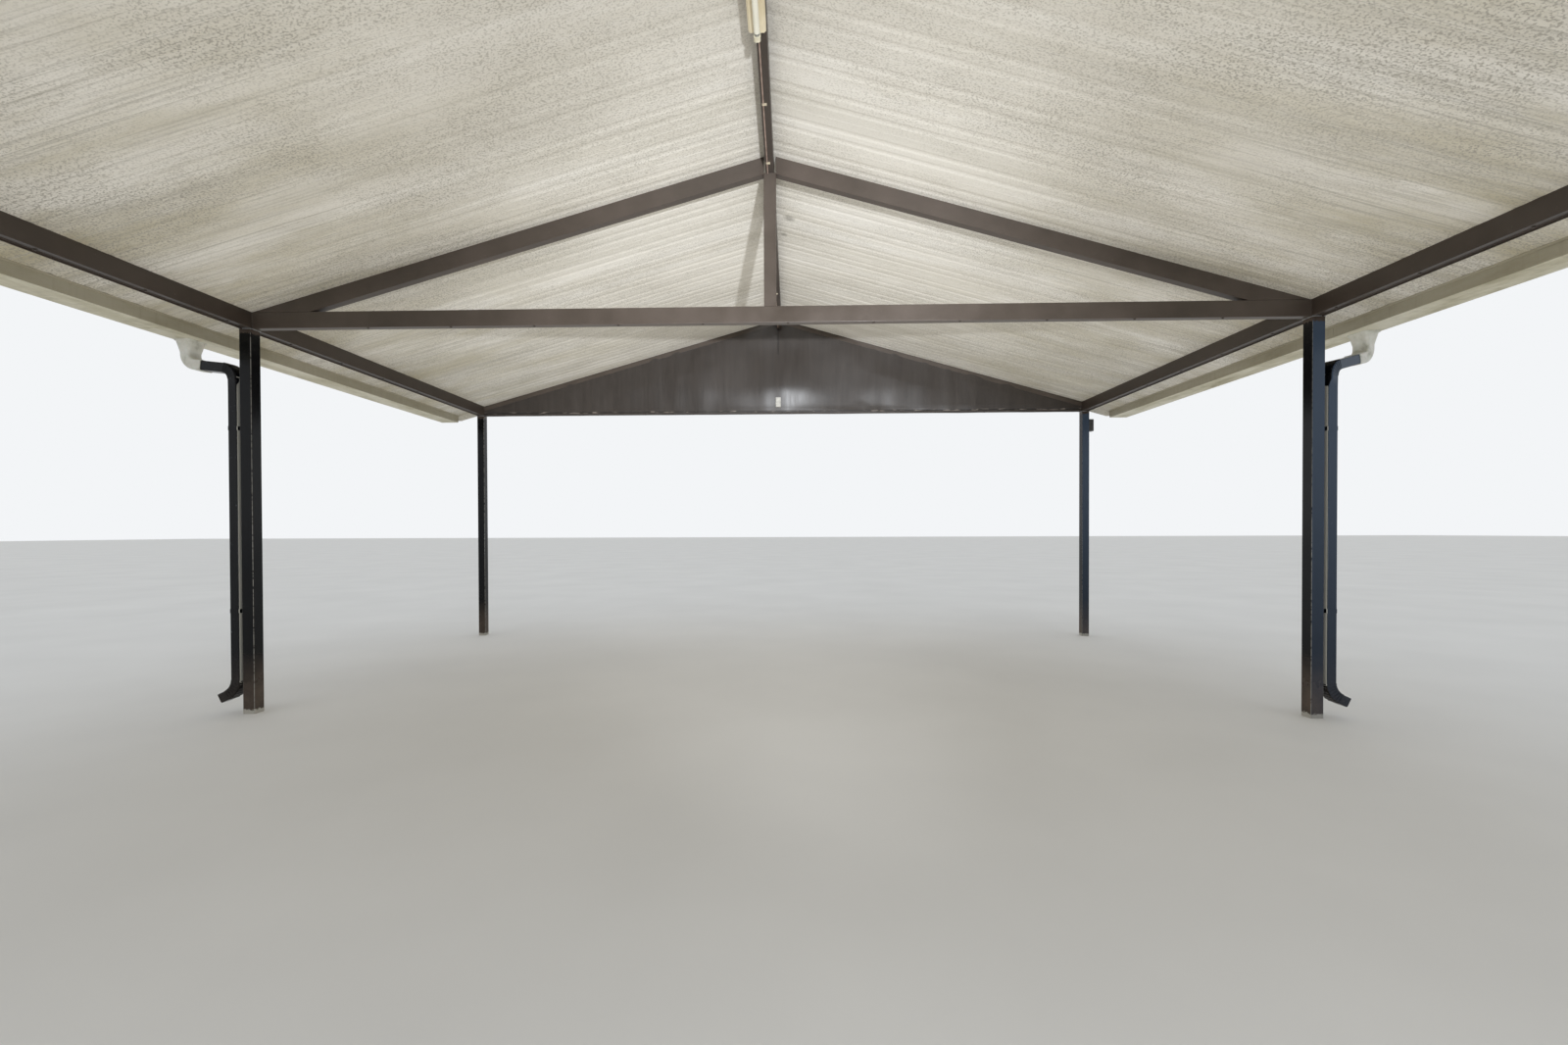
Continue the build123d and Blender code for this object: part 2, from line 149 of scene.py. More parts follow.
add_node(tree, "OutputWorld", {}, {"Surface": surround})
scene.world = world

key_place, key_radius = (0.886, -5.5, 0.924), 0.045
light_plan = (
    ("front_floor_lamp", "AREA", (0.0, -0.9, 0.03), (0.0, -0.9, 3.0), 47.0, (6.2, 4.2)),
    ("rear_floor_lamp", "AREA", (0.0, 2.3, 0.03), (0.0, 2.3, 3.0), 23.0, (6.2, 2.4)),
    ("wide_key_lamp", "AREA", key_place, (0.4, -2.0, 5.0), 82.0, (0.09, 0.09)),
    ("middle_key_lamp", "SPOT", key_place, (-0.1, 1.8, 2.08), 2100.0, radians(48)),
)
for lamp_name, lamp_kind, place, target, power, spread in light_plan:
    lamp_data = bpy.data.lights.new(lamp_name, lamp_kind)
    lamp_data.energy = power
    lamp_data.color = linear("#F6FAFF" if place == key_place else "#FFF8E8")[:3]
    if lamp_kind == "AREA":
        lamp_data.shape = "RECTANGLE"
        lamp_data.size, lamp_data.size_y = spread
    else:
        lamp_data.spot_size = spread
        lamp_data.spot_blend = 1.0
        lamp_data.shadow_soft_size = key_radius
    lamp = bpy.data.objects.new(lamp_name, lamp_data)
    lamp.location = place
    aim = Vector(target) - Vector(place)
    lamp.rotation_euler = aim.to_track_quat("-Z", "Y").to_euler()
    lamp.visible_camera = False
    lamp.visible_glossy = place == key_place
    scene.collection.objects.link(lamp)

# Posts: 3 in square steel tube, brushed with gloss black enamel. It is dusty
# and worn to pale primer at the floor. Pale specks along the arrises are a
# painted highlight, and the front faces on the right carry a painted blue
# reflection of the sky, so that the right side looks blue beside the left.
def paint(node_names, finish):
    """Give each named piece one finish in place of its own."""
    for name in node_names:
        nodes[name].data.materials.clear()
        nodes[name].data.materials.append(finish)


def painted_sky_reflection(tree, coords, painted):
    """Paint a blue grey reflection of the sky onto the front faces on the right."""
    front_turn, reflection_low, reflection_high = -0.7, 0.1, 1.9
    turn = add_node(tree, "SeparateXYZ", {}, {"Vector": coords.outputs["Normal"]})
    place = add_node(tree, "SeparateXYZ", {}, {"Vector": coords.outputs["Object"]})
    in_front = add_node(tree, "Math", {"operation": "LESS_THAN", 1: front_turn}, {0: turn.outputs["Y"]})
    on_right = add_node(tree, "Math", {"operation": "GREATER_THAN", 1: 0.0}, {0: place.outputs["X"]})
    front_right_faces = add_node(tree, "Math", {"operation": "MULTIPLY"}, {0: in_front, 1: on_right})
    higher = add_node(
        tree,
        "MapRange",
        {"From Min": reflection_low, "From Max": reflection_high, "To Min": 0.25, "To Max": 0.95},
        {"Value": place.outputs["Z"]},
    )
    share = add_node(tree, "Math", {"operation": "MULTIPLY"}, {0: front_right_faces, 1: higher})
    reflection_mix = add_node(tree, "Mix", {"data_type": "RGBA", 7: linear("#3F4C5E")}, {0: share, 6: painted})
    return reflection_mix.outputs[2]


post_x, post_bay = 3.3147, 3.0099
arris_inner, arris_outer = 0.0338, 0.0362
worn_top, worn_bottom = 0.03, 0.022
dust_top, dust_bottom = 0.4, 0.05
brown_start, brown_full = 2.405, 2.409
ragged_reach = 0.045
# Chips of 2 to 5 mm are drawn about 15 mm across, here and on the frame tubes
# and pipes, so that they show.
gloss_black, tree = start_material("brushed_gloss_black_enamel_on_steel")
post_coords = add_node(tree, "TexCoord")
post_split = add_node(tree, "SeparateXYZ", {}, {"Vector": post_coords.outputs["Object"]})
post_chip_noise = add_node(
    tree,
    "TexNoise",
    {"Scale": 60.0, "Detail": 5.0, "Roughness": 0.65},
    {"Vector": post_coords.outputs["Object"]},
)
post_ragged = add_node(
    tree,
    "Math",
    {"operation": "MULTIPLY_ADD", 1: ragged_reach, 2: -ragged_reach / 2},
    {0: post_chip_noise},
)
post_edge = add_node(tree, "Math", {"operation": "ADD"}, {0: post_split.outputs["Z"], 1: post_ragged})
post_worn = add_node(
    tree, "MapRange", {"From Min": worn_top, "From Max": worn_bottom}, {"Value": post_edge}
)
post_dust_noise = add_node(
    tree,
    "TexNoise",
    {"Scale": 9.0, "Detail": 6.0, "Roughness": 0.7},
    {"Vector": post_coords.outputs["Object"]},
)
post_dust_fall = add_node(
    tree,
    "MapRange",
    {"From Min": dust_top, "From Max": dust_bottom, "To Max": 0.9},
    {"Value": post_split.outputs["Z"]},
)
post_dust = add_node(tree, "Math", {"operation": "MULTIPLY"}, {0: post_dust_noise, 1: post_dust_fall})
post_black = add_node(
    tree, "ValToRGB", {"stops": [(0.3, "#07080A"), (0.7, "#0F1013")]}, {0: post_dust_noise}
)
post_rough = add_node(tree, "MapRange", {"To Min": 0.16, "To Max": 0.62}, {"Value": post_dust})
post_bump = add_node(tree, "Bump", {"Strength": 0.25, "Distance": 0.0008}, {"Height": post_chip_noise})
# Pale specks along the four arrises are a painted highlight of the glossy corners.
# The real line is about 2 mm wide and is drawn 4 mm wide so that it shows.
post_away = add_node(tree, "Math", {"operation": "ABSOLUTE"}, {0: post_split.outputs["X"]})
post_from_axis = add_node(tree, "Math", {"operation": "SUBTRACT", 1: post_x}, {0: post_away})
post_across = add_node(tree, "Math", {"operation": "ABSOLUTE"}, {0: post_from_axis})
post_along = add_node(
    tree, "Math", {"operation": "PINGPONG", 1: post_bay / 2}, {0: post_split.outputs["Y"]}
)
arris_span = {"From Min": arris_inner, "From Max": arris_outer}
post_arris_spots = [
    add_node(tree, "MapRange", arris_span, {"Value": distance}) for distance in (post_across, post_along)
]
post_arris = add_node(
    tree, "Math", {"operation": "MULTIPLY"}, {0: post_arris_spots[0], 1: post_arris_spots[1]}
)
post_arris_speckle = add_node(
    tree, "MapRange", {"From Min": 0.38, "From Max": 0.5, "To Max": 0.9}, {"Value": post_chip_noise}
)
post_arris_highlight = add_node(tree, "Math", {"operation": "MULTIPLY"}, {0: post_arris, 1: post_arris_speckle})
post_colour = post_black
for share, code in ((post_dust, "#6E5F52"), (post_worn, "#A9A59B"), (post_arris_highlight, "#8F8D88")):
    post_coat = add_node(tree, "Mix", {"data_type": "RGBA", 7: linear(code)}, {0: share, 6: post_colour})
    post_colour = post_coat.outputs[2]
# The head is brushed brown with the beam above it.
post_head_share = add_node(
    tree, "MapRange", {"From Min": brown_start, "From Max": brown_full}, {"Value": post_edge}
)
# The front faces on the right are mixed to a painted blue reflection of the sky.
post_headed = add_node(
    tree,
    "Mix",
    {"data_type": "RGBA", 7: linear("#463D37")},
    {0: post_head_share, 6: painted_sky_reflection(tree, post_coords, post_colour)},
)
post_shader = add_node(
    tree,
    "BsdfPrincipled",
    {"IOR": 1.45, "Specular IOR Level": 0.2},
    {"Base Color": post_headed.outputs[2], "Roughness": post_rough, "Normal": post_bump},
)
add_node(tree, "OutputMaterial", {}, {"Surface": post_shader})
paint([name for name in nodes if name.endswith("_post") and "king" not in name], gloss_black)

# Frame tubes: 2 by 4 in steel tube welded into beams and trusses, brushed
# with satin dark brown enamel that has gone a little chalky and uneven, with
# small pale chips. The beams get a darker copy of the brown, painted shade
# for their inner faces that face away from the lamps.
satin_browns_with_beam_shade = {}
# The beam row is the same paint made darker as painted shade.
tube_tones_with_beam_shade = (("truss", "#423A33", "#544A43"), ("beam", "#362E28", "#443B34"))
for tube_name, tube_dark, tube_light in tube_tones_with_beam_shade:
    satin_browns_with_beam_shade[tube_name], tree = start_material("brushed_satin_brown_enamel_on_steel_" + tube_name)
    tube_coords = add_node(tree, "TexCoord").outputs["Object"]
    tube_clouds = add_node(
        tree, "TexNoise", {"Scale": 2.6, "Detail": 5.0, "Roughness": 0.6}, {"Vector": tube_coords}
    )
    tube_specks = add_node(
        tree, "TexNoise", {"Scale": 85.0, "Detail": 4.0, "Roughness": 0.6}, {"Vector": tube_coords}
    )
    tube_tone = add_node(
        tree, "ValToRGB", {"stops": [(0.3, tube_dark), (0.72, tube_light)]}, {0: tube_clouds}
    )
    tube_chips = add_node(
        tree, "MapRange", {"From Min": 0.68, "From Max": 0.76, "To Max": 0.35}, {"Value": tube_specks}
    )
    tube_colour = add_node(
        tree, "Mix", {"data_type": "RGBA", 7: linear("#8B8178")}, {0: tube_chips, 6: tube_tone}
    )
    tube_rough = add_node(
        tree,
        "MapRange",
        {"From Min": 0.3, "From Max": 0.7, "To Min": 0.3, "To Max": 0.46},
        {"Value": tube_clouds},
    )
    tube_bump = add_node(tree, "Bump", {"Strength": 0.3, "Distance": 0.0008}, {"Height": tube_specks})
    tube_shader = add_node(
        tree,
        "BsdfPrincipled",
        {"IOR": 1.5},
        {"Base Color": tube_colour.outputs[2], "Roughness": tube_rough, "Normal": tube_bump},
    )
    add_node(tree, "OutputMaterial", {}, {"Surface": tube_shader})
paint([name for name in nodes if name.endswith("_beam")], satin_browns_with_beam_shade["beam"])
truss_ends = ("_chord", "_chords", "_king_post")
paint([name for name in nodes if name.endswith(truss_ends)], satin_browns_with_beam_shade["truss"])

# Roof pans: roll-formed aluminium 254 mm wide, clipped together at upright
# seams on top, cream enamel over a stucco emboss. Mildew lies on it in soft
# patches and long thin streaks, heavier and yellower towards the eaves.
roof_enamel, tree = start_material("stucco_embossed_cream_enamel_on_aluminium")
roof_coords = add_node(tree, "TexCoord").outputs["Object"]
roof_split = add_node(tree, "SeparateXYZ", {}, {"Vector": roof_coords})
# The real emboss is about 3 mm across; it is drawn 9 mm across so that it shows.
roof_noise_plan = {
    "stipple": ((100.0, 140.0, 100.0), 1.0, 0.5, (0.0, 0.0, 0.0)),
    "pencil": ((1.3, 95.0, 1.3), 3.0, 0.6, (0.0, 0.0, 0.0)),
    "bands": ((0.3, 4.5, 0.3), 3.0, 0.5, (3.1, 0.0, 0.0)),
    "patches": ((0.85, 1.7, 0.85), 5.0, 0.6, (7.4, 2.2, 0.0)),
    "stains": ((1.0, 3.4, 1.0), 5.0, 0.62, (1.3, 5.1, 2.0)),
}
roof_noises = {}
for pattern, (stretch, detail, rough, offset) in roof_noise_plan.items():
    pattern_place = add_node(tree, "Mapping", {"Location": offset, "Scale": stretch}, {0: roof_coords})
    roof_noises[pattern] = add_node(
        tree, "TexNoise", {"Scale": 1.0, "Detail": detail, "Roughness": rough}, {"Vector": pattern_place}
    )
roof_tone = add_node(
    tree,
    "ValToRGB",
    {"stops": [(0.3, "#D5D1C8"), (0.5, "#DFDBD3"), (0.68, "#E8E5DF")]},
    {0: roof_noises["bands"]},
)
# Distances from the ridge where each kind of dirt starts and is at its full.
stain_start, stain_full = 1.2, 3.6
pencil_start, pencil_full = 0.9, 2.7
dots_start, dots_full = 0.4, 2.0
roof_away = add_node(tree, "Math", {"operation": "ABSOLUTE"}, {0: roof_split.outputs["X"]})
roof_patch_share = add_node(
    tree,
    "MapRange",
    {"From Min": 0.42, "From Max": 0.7, "To Max": 0.42},
    {"Value": roof_noises["patches"]},
)
roof_eave_share = add_node(
    tree,
    "MapRange",
    {"From Min": stain_start, "From Max": stain_full, "To Min": 0.1},
    {"Value": roof_away},
)
roof_stain_shape = add_node(
    tree, "MapRange", {"From Min": 0.4, "From Max": 0.68}, {"Value": roof_noises["stains"]}
)
roof_stain_share = add_node(
    tree, "Math", {"operation": "MULTIPLY"}, {0: roof_eave_share, 1: roof_stain_shape}
)
roof_pencil_lines = add_node(
    tree, "MapRange", {"From Min": 0.48, "From Max": 0.7, "To Max": 0.62}, {"Value": roof_noises["pencil"]}
)
roof_pencil_field = add_node(
    tree,
    "MapRange",
    {"From Min": pencil_start, "From Max": pencil_full, "To Min": 0.05},
    {"Value": roof_away},
)
roof_pencil_share = add_node(
    tree, "Math", {"operation": "MULTIPLY"}, {0: roof_pencil_lines, 1: roof_pencil_field}
)
roof_dots = add_node(
    tree,
    "MapRange",
    {"From Min": 0.5, "From Max": 0.64, "To Max": 0.75},
    {"Value": roof_noises["stipple"]},
)
roof_dot_field = add_node(
    tree,
    "MapRange",
    {"From Min": 0.36, "From Max": 0.56, "To Min": 0.25},
    {"Value": roof_noises["patches"]},
)
roof_dot_share = add_node(tree, "Math", {"operation": "MULTIPLY"}, {0: roof_dots, 1: roof_dot_field})
# The emboss holds less dirt by the ridge and shows fainter there.
roof_dots_by_height = add_node(
    tree, "MapRange", {"From Min": dots_start, "From Max": dots_full, "To Min": 0.65}, {"Value": roof_away}
)
roof_dots_placed = add_node(
    tree, "Math", {"operation": "MULTIPLY"}, {0: roof_dot_share, 1: roof_dots_by_height}
)
# Each joint between pans shows as a pale line, a painted highlight of light grazing the joint. Two soot
# marks lie by the ridge.
pan_width, joint_half, joint_soft = 0.254, 0.007, 0.003
roof_joint_away = add_node(
    tree, "Math", {"operation": "PINGPONG", 1: pan_width / 2}, {0: roof_split.outputs["Y"]}
)
roof_joint_highlight = add_node(
    tree,
    "MapRange",
    {"From Min": joint_half, "From Max": joint_half - joint_soft, "To Max": 0.15},
    {"Value": roof_joint_away},
)
roof_coats = [
    (roof_patch_share, "#B9B4A9"),
    (roof_stain_share, "#B7AF96"),
    (roof_pencil_share, "#A19D93"),
    (roof_dots_placed, "#948F85"),
    (roof_joint_highlight, "#EFEDE8"),
]
soot_spots = (((0.116, 0.70, 3.435), 0.055), ((0.077, 0.97, 3.446), 0.035))
for soot_spot, soot_radius in soot_spots:
    soot_away = add_node(tree, "VectorMath", {"operation": "DISTANCE", 1: soot_spot}, {0: roof_coords})
    soot_share = add_node(
        tree,
        "MapRange",
        {"From Min": soot_radius, "From Max": soot_radius * 0.3, "To Max": 0.55},
        {"Value": soot_away.outputs["Value"]},
    )
    roof_coats.append((soot_share, "#6E6A62"))
roof_colour = roof_tone
for share, code in roof_coats:
    roof_coat = add_node(tree, "Mix", {"data_type": "RGBA", 7: linear(code)}, {0: share, 6: roof_colour})
    roof_colour = roof_coat.outputs[2]
roof_bump = add_node(
    tree, "Bump", {"Strength": 0.35, "Distance": 0.0008}, {"Height": roof_noises["stipple"]}
)
roof_shader = add_node(
    tree,
    "BsdfPrincipled",
    {"IOR": 1.5, "Roughness": 0.5},
    {"Base Color": roof_colour, "Normal": roof_bump},
)
add_node(tree, "OutputMaterial", {}, {"Surface": roof_shader})
roof_ends = ("_roof_sheet", "_verge_trims", "ridge_cap")
paint([name for name in nodes if name.endswith(roof_ends)], roof_enamel)

# Roof screws: zinc plated hex heads on washers, brushed cream and rubbed grey
# in spots. One goes through the ridge cap at each seam, a row along each verge
# trim, and two through each of the laps that close the trims' lower ends.
def scatter(template, name, places):
    """Copy one small finished piece to many places as a single mesh."""
    group = bmesh.new()
    for place in places:
        first = len(group.verts)
        group.from_mesh(template.data)
        group.verts.ensure_lookup_table()
        bmesh.ops.transform(group, matrix=place, verts=group.verts[first:])
    mesh = bpy.data.meshes.new(name)
    group.to_mesh(mesh)
    group.free()
    piece = bpy.data.objects.new(name, mesh)
    scene.collection.objects.link(piece)
    return piece


def face_along(place, axis):
    """Place a template at a point with its Z axis along a direction."""
    return Matrix.Translation(place) @ Vector(axis).to_track_quat("Z", "X").to_matrix().to_4x4()


head_radius, head_height, head_middle, head_bevel = 0.0058, 0.0048, 0.0036, 0.0007
washer_radius, washer_thick, washer_middle = 0.0088, 0.0014, 0.0005
bpy.ops.object.select_all(action="DESELECT")
bpy.ops.mesh.primitive_cylinder_add(
    vertices=6, radius=head_radius, depth=head_height, location=(0, 0, head_middle)
)
screw = bpy.context.object
bpy.ops.object.mode_set(mode="EDIT")
bpy.ops.mesh.select_all(action="SELECT")
bpy.ops.mesh.bevel(offset=head_bevel, segments=1)
bpy.ops.object.mode_set(mode="OBJECT")
bpy.ops.mesh.primitive_cylinder_add(
    vertices=12, radius=washer_radius, depth=washer_thick, location=(0, 0, washer_middle)
)
screw.select_set(True)
bpy.context.view_layer.objects.active = screw
bpy.ops.object.join()
bpy.ops.object.transform_apply(location=True, rotation=True, scale=True)

screw_enamel, tree = start_material("cream_enamel_on_zinc_plated_screw_heads")
screw_coords = add_node(tree, "TexCoord").outputs["Object"]
screw_noise = add_node(tree, "TexNoise", {"Scale": 300.0, "Detail": 2.0}, {"Vector": screw_coords})
screw_tone = add_node(
    tree, "ValToRGB", {"stops": [(0.42, "#8F887A"), (0.55, "#CFC9B8")]}, {0: screw_noise}
)
screw_shader = add_node(
    tree, "BsdfPrincipled", {"Roughness": 0.45, "IOR": 1.5}, {"Base Color": screw_tone}
)
add_node(tree, "OutputMaterial", {}, {"Surface": screw_shader})

cap_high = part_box("ridge_cap")[1]
pan_count, roof_slope = 24, 0.2833
slope_turn = Vector((roof_slope, 0, 1)).normalized()
cap_screw_x = 0.135
cap_screw_z = cap_high.z - roof_slope * cap_screw_x
cap_places = []
for pan in range(1, pan_count):
    seam_y = -pan_count / 2 * pan_width + pan * pan_width
    for side in (-1, 1):
        cap_spot = (side * cap_screw_x, seam_y, cap_screw_z)
        cap_places.append(face_along(cap_spot, (side * slope_turn.x, 0, slope_turn.z)))
cap_screws = scatter(screw, "ridge_cap_screws", cap_places)

trim_screw_start, trim_screw_end, trim_screw_pitch = 0.32, 3.5, 0.42
trim_face_y, trim_screw_drop, trim_sheet = 3.051, 0.07, 0.0012
lap_x, lap_y, lap_low, lap_high = 3.586, 3.0516, 2.3945, 2.4925
lap_screw_inset, lap_screw_out = 0.025, 0.0006
trim_places = []
for facing in (-1, 1):
    for side in (-1, 1):
        along = trim_screw_start
        while along < trim_screw_end:
            screw_z = cap_high.z - roof_slope * along - trim_sheet - trim_screw_drop
            trim_places.append(face_along((side * along, facing * trim_face_y, screw_z), (0, facing, 0)))
            along += trim_screw_pitch
for facing in (-1, 1):
    for side in (-1, 1):
        for screw_z in (lap_low + lap_screw_inset, lap_high - lap_screw_inset):
            lap_spot = (side * lap_x, facing * (lap_y + lap_screw_out), screw_z)
            trim_places.append(face_along(lap_spot, (0, facing, 0)))
trim_screws = scatter(screw, "verge_trim_screws", trim_places)
for piece in (cap_screws, trim_screws):
    piece.data.materials.append(screw_enamel)
    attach(piece, "root")

# Verge trim laps: small flat plates, cut from the trim's own sheet, that close
# the corner between each trim's lower end and the gutter's end cap.
lap_wide, lap_sheet, lap_bevel = 0.056, 0.0014, 0.0004
bpy.ops.object.select_all(action="DESELECT")
bpy.ops.mesh.primitive_cube_add(size=1.0, scale=(lap_wide, lap_sheet, lap_high - lap_low))
lap = bpy.context.object
bpy.ops.object.transform_apply(location=True, rotation=True, scale=True)
bpy.ops.object.mode_set(mode="EDIT")
bpy.ops.mesh.select_all(action="SELECT")
bpy.ops.mesh.bevel(offset=lap_bevel, segments=1)
bpy.ops.object.mode_set(mode="OBJECT")
lap_places = []
for facing in (-1, 1):
    for side in (-1, 1):
        lap_places.append(Matrix.Translation((side * lap_x, facing * lap_y, (lap_low + lap_high) / 2)))
trim_laps = scatter(lap, "verge_trim_laps", lap_places)
trim_laps.data.materials.append(roof_enamel)
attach(trim_laps, "root")
bpy.data.objects.remove(lap)

# Beam and chord screws: the same heads brushed brown, in a row up into each
# eave beam between the posts and up into each truss's bottom chord.
beam_screw_start, beam_screw_end, beam_screw_pitch, post_clear = -2.606, 2.95, 0.487, 0.06
beam_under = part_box("right_eave_beam")[0].z
beam_places = []
for node_name in ("left_eave_beam", "right_eave_beam"):
    low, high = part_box(node_name)
    screw_x = (low.x + high.x) / 2
    screw_y = beam_screw_start
    while screw_y < beam_screw_end:
        if min(abs(screw_y - y) for y in (-post_bay, 0.0, post_bay)) > post_clear:
            beam_places.append(face_along((screw_x, screw_y, beam_under), (0, 0, -1)))
        screw_y += beam_screw_pitch
chord_screw_pitch, chord_screw_shift, chord_screw_aside, side_screws = 0.53, 0.11, 0.012, 5
for row_name in ("front", "middle", "rear"):
    low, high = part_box(row_name + "_bottom_chord")
    for step in range(-side_screws, side_screws + 1):
        spot_x = step * chord_screw_pitch + chord_screw_shift
        spot_y = (low.y + high.y) / 2 - chord_screw_aside
        beam_places.append(face_along((spot_x, spot_y, low.z), (0, 0, -1)))
beam_screws = scatter(screw, "beam_and_chord_screws", beam_places)
# These screws take the beams' darker brown, the copy that paints in shade.
beam_screws.data.materials.append(satin_browns_with_beam_shade["beam"])
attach(beam_screws, "root")
bpy.data.objects.remove(screw)

# Weld beads: an upright fillet weld on each face of the middle truss, where
# its chord meets the eave beams, lumpy under the trusses' brushed brown.
bead_radius, bead_short, bead_rough, bead_cuts = 0.004, 0.006, 0.0009, 12
low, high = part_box("middle_bottom_chord")
bpy.ops.object.select_all(action="DESELECT")
bpy.ops.mesh.primitive_cylinder_add(vertices=8, radius=bead_radius, depth=high.z - low.z - bead_short)
bead = bpy.context.object
bpy.ops.object.mode_set(mode="EDIT")
bpy.ops.mesh.select_all(action="SELECT")
bpy.ops.mesh.subdivide(number_cuts=bead_cuts, quadcorner="INNERVERT")
bpy.ops.transform.vertex_random(offset=bead_rough, seed=4)
bpy.ops.object.mode_set(mode="OBJECT")
bead_places = []
for side_x in (low.x, high.x):
    for face_y in (low.y, high.y):
        bead_places.append(Matrix.Translation((side_x, face_y, (low.z + high.z) / 2)))
weld_beads = scatter(bead, "middle_truss_weld_beads", bead_places)
weld_beads.data.materials.append(satin_browns_with_beam_shade["truss"])
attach(weld_beads, "root")
bpy.data.objects.remove(bead)

# Head plates: a hot dip galvanised steel plate welded over each post. Its bare
# edge stands a little proud of the tube, a soft bright line under the beam.
zinc_plate, tree = start_material("hot_dip_galvanised_plate_edges")
zinc_coords = add_node(tree, "TexCoord").outputs["Object"]
zinc_spangle = add_node(tree, "TexVoronoi", {"Scale": 110.0}, {"Vector": zinc_coords})
zinc_tone = add_node(
    tree,
    "ValToRGB",
    {"stops": [(0.1, "#B4B6B7"), (0.8, "#D2D4D5")]},
    {0: zinc_spangle.outputs["Distance"]},
)
zinc_shader = add_node(
    tree, "BsdfPrincipled", {"Metallic": 1.0, "Roughness": 0.5}, {"Base Color": zinc_tone}
)
add_node(tree, "OutputMaterial", {}, {"Surface": zinc_shader})
plate_width, plate_thick, plate_bevel, plate_sunk = 0.0796, 0.0045, 0.0008, 0.0004
bpy.ops.object.select_all(action="DESELECT")
bpy.ops.mesh.primitive_cube_add(size=1.0, scale=(plate_width, plate_width, plate_thick))
plate = bpy.context.object
bpy.ops.object.transform_apply(location=True, rotation=True, scale=True)
bpy.ops.object.mode_set(mode="EDIT")
bpy.ops.mesh.select_all(action="SELECT")
bpy.ops.mesh.bevel(offset=plate_bevel, segments=2)
bpy.ops.object.mode_set(mode="OBJECT")
plate_places = []
for row_name in ("front", "middle", "rear"):
    for side_name in ("left", "right"):
        low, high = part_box(row_name + "_" + side_name + "_post")
        plate_z = high.z - plate_thick / 2 - plate_sunk
        plate_places.append(Matrix.Translation(((low.x + high.x) / 2, (low.y + high.y) / 2, plate_z)))
head_plates = scatter(plate, "post_head_plates", plate_places)
head_plates.data.materials.append(zinc_plate)
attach(head_plates, "root")
bpy.data.objects.remove(plate)

# Gable sheets: one thin steel sheet on the inner face of each end truss, its
# lower edge hemmed under the chord, buckled a little between its fixings. The
# sprayed gloss brown shows each dent as a soft bright patch, with faint runs.
gable_gloss, tree = start_material("sprayed_gloss_brown_enamel_on_sheet_steel")
gable_coords = add_node(tree, "TexCoord").outputs["Object"]
gable_clouds = add_node(
    tree, "TexNoise", {"Scale": 1.3, "Detail": 3.0, "Roughness": 0.5}, {"Vector": gable_coords}
)
gable_drip_place = add_node(tree, "Mapping", {"Scale": (22.0, 1.0, 2.2)}, {0: gable_coords})
gable_drips = add_node(
    tree, "TexNoise", {"Scale": 1.0, "Detail": 4.0, "Roughness": 0.6}, {"Vector": gable_drip_place}
)
gable_tone = add_node(
    tree, "ValToRGB", {"stops": [(0.25, "#322D2A"), (0.75, "#3C3632")]}, {0: gable_clouds}
)
gable_drip_share = add_node(
    tree, "MapRange", {"From Min": 0.4, "From Max": 0.8, "To Max": 0.15}, {"Value": gable_drips}
)
gable_colour = add_node(
    tree, "Mix", {"data_type": "RGBA", 7: linear("#655C55")}, {0: gable_drip_share, 6: gable_tone}
)
# The crease above the hem is coloured darker, with chips of bare primer along it.
hem_crease_z, hem_crease_half = 2.4635, 0.011
gable_split = add_node(tree, "SeparateXYZ", {}, {"Vector": gable_coords})
gable_crease_at = add_node(
    tree, "Math", {"operation": "SUBTRACT", 1: hem_crease_z}, {0: gable_split.outputs["Z"]}
)
gable_crease_away = add_node(tree, "Math", {"operation": "ABSOLUTE"}, {0: gable_crease_at})
gable_crease_share = add_node(
    tree,
    "MapRange",
    {"From Min": hem_crease_half, "From Max": hem_crease_half * 0.4, "To Max": 0.8},
    {"Value": gable_crease_away},
)
gable_chip_place = add_node(tree, "Mapping", {"Scale": (9.0, 1.0, 60.0)}, {0: gable_coords})
gable_chips = add_node(tree, "TexNoise", {"Scale": 1.0, "Detail": 3.0}, {"Vector": gable_chip_place})
gable_chip_tone = add_node(
    tree, "ValToRGB", {"stops": [(0.56, "#211D1B"), (0.62, "#8A8078")]}, {0: gable_chips}
)
gable_finish = add_node(
    tree,
    "Mix",
    {"data_type": "RGBA"},
    {0: gable_crease_share, 6: gable_colour.outputs[2], 7: gable_chip_tone},
)
gable_rough = add_node(
    tree,
    "MapRange",
    {"From Min": 0.3, "From Max": 0.7, "To Min": 0.33, "To Max": 0.42},
    {"Value": gable_drips},
)
gable_shader = add_node(
    tree, "BsdfPrincipled", {"IOR": 1.5}, {"Base Color": gable_finish.outputs[2], "Roughness": gable_rough}
)
add_node(tree, "OutputMaterial", {}, {"Surface": gable_shader})

gable_thickness, gable_columns, gable_rows = 0.0012, 260, 44
# Each dent: middle along the sheet, half width and how far it stands out.
gable_dents = (
    (0.05, 0.40, 0.038),
    (-0.86, 0.36, 0.018),
    (1.30, 0.42, 0.016),
    (-1.6, 0.4, 0.01),
    (2.3, 0.35, 0.008),
)
hem_height, belly_middle, belly_top = 0.026, 0.3, 0.75
sheet_proud, peak_short = 0.003, 0.0005
free_top, free_bottom, dent_fade = 0.12, 0.05, 0.3
wide_buckle, fine_buckle, edge_waver = 0.008, 0.002, 0.004
crease_deep, crease_half, ripple_deep, ripple_turns = 0.004, 0.006, 0.0014, 21.0


def belly(height):
    """Side view of a dent: from the hem out to its middle and slowly back in."""
    if height <= hem_height or height >= belly_top:
        return 0.0
    if height < belly_middle:
        share = (height - hem_height) / (belly_middle - hem_height)
    else:
        share = (belly_top - height) / (belly_top - belly_middle)
    return share * share * (3 - 2 * share)


